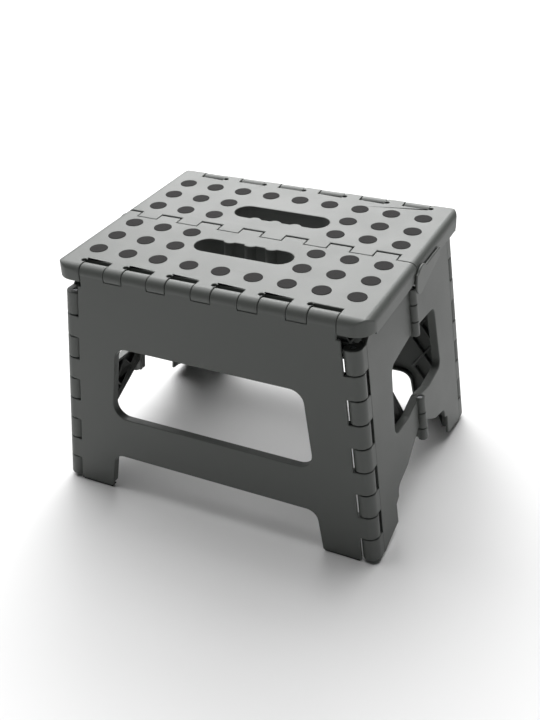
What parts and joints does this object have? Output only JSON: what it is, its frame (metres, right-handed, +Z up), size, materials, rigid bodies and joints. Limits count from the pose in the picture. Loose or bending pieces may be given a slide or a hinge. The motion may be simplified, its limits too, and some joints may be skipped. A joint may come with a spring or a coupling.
{
  "type": "folding step stool",
  "caption": "Low folding step stool with a slip-resistant top in two hinged halves, finger slots for carrying, and four hinged walls that fold flat.",
  "frame": {"origin": "on the floor under the centre of the top", "axes": "+X along the stool's length, +Y from the front edge to the rear edge, +Z up"},
  "size_m": [0.3158, 0.2442, 0.2274],
  "materials": {
    "moulded_plastic": "fine matte grain",
    "pin_steel": "plain drawn wire",
    "soft_rubber": "matte rubber with a fine weave"
  },
  "bodies": {
    "front_leg": {"front_leg_panel": "moulded_plastic", "front_edge_hinge_pin": "pin_steel", "front_right_corner_pin": "pin_steel", "front_left_corner_pin": "pin_steel", "front_foot_pads": "soft_rubber"},
    "front_top": {"front_top_panel": "moulded_plastic", "front_grip_dots": "soft_rubber", "centre_hinge_pin": "pin_steel"},
    "left_front_side": {"left_front_side_panel": "moulded_plastic", "left_upper_middle_pin": "pin_steel", "left_lower_middle_pin": "pin_steel"},
    "left_rear_side": {"left_rear_side_panel": "moulded_plastic"},
    "rear_leg": {"rear_leg_panel": "moulded_plastic", "rear_edge_hinge_pin": "pin_steel", "rear_right_corner_pin": "pin_steel", "rear_left_corner_pin": "pin_steel", "rear_foot_pads": "soft_rubber"},
    "rear_top": {"rear_top_panel": "moulded_plastic", "rear_grip_dots": "soft_rubber"},
    "right_front_side": {"right_front_side_panel": "moulded_plastic"},
    "right_rear_side": {"right_rear_side_panel": "moulded_plastic", "right_upper_middle_pin": "pin_steel", "right_lower_middle_pin": "pin_steel"}
  },
  "joints": [
    {"name": "fold", "type": "hinge", "parent": "front_leg", "child": "front_top", "pos_m": [0, -0.1075, 0.2195], "axis": [1, 0, 0], "range_deg": [0, 88.16]},
    {"name": "left_front_corner", "type": "hinge", "parent": "front_leg", "child": "left_front_side", "pos_m": [-0.126, -0.1065, 0.21947], "axis": [-0.1074, -0.0347, -0.9936], "range_deg": [0, 90.3]},
    {"name": "left_middle", "type": "hinge", "parent": "left_front_side", "child": "left_rear_side", "pos_m": [-0.13445, 0, 0.22038], "axis": [0.1102, 0, 0.9939], "range_deg": [0, 180.2]},
    {"name": "left_rear_corner", "type": "hinge", "parent": "left_rear_side", "child": "rear_leg", "pos_m": [-0.126, 0.1065, 0.21947], "axis": [-0.1074, 0.0347, -0.9936], "range_deg": [0, 90.3]},
    {"name": "rear_edge", "type": "hinge", "parent": "rear_leg", "child": "rear_top", "pos_m": [0, 0.1075, 0.2195], "axis": [-1, 0, 0], "range_deg": [0, 88.26]},
    {"name": "right_front_corner", "type": "hinge", "parent": "front_leg", "child": "right_front_side", "pos_m": [0.126, -0.1065, 0.21947], "axis": [-0.1074, 0.0347, 0.9936], "range_deg": [0, 90.3]},
    {"name": "right_rear_corner", "type": "hinge", "parent": "rear_leg", "child": "right_rear_side", "pos_m": [0.126, 0.1065, 0.21947], "axis": [0.1074, 0.0347, -0.9936], "range_deg": [0, 90.3]}
  ],
  "couplings": [
    {"joint": "left_front_corner", "follows": "fold", "ratio": 1.0232},
    {"joint": "left_middle", "follows": "fold", "ratio": 2.0418},
    {"joint": "left_rear_corner", "follows": "fold", "ratio": 1.0232},
    {"joint": "rear_edge", "follows": "fold", "ratio": 1},
    {"joint": "right_front_corner", "follows": "fold", "ratio": 1.0232},
    {"joint": "right_rear_corner", "follows": "fold", "ratio": 1.0232}
  ]
}
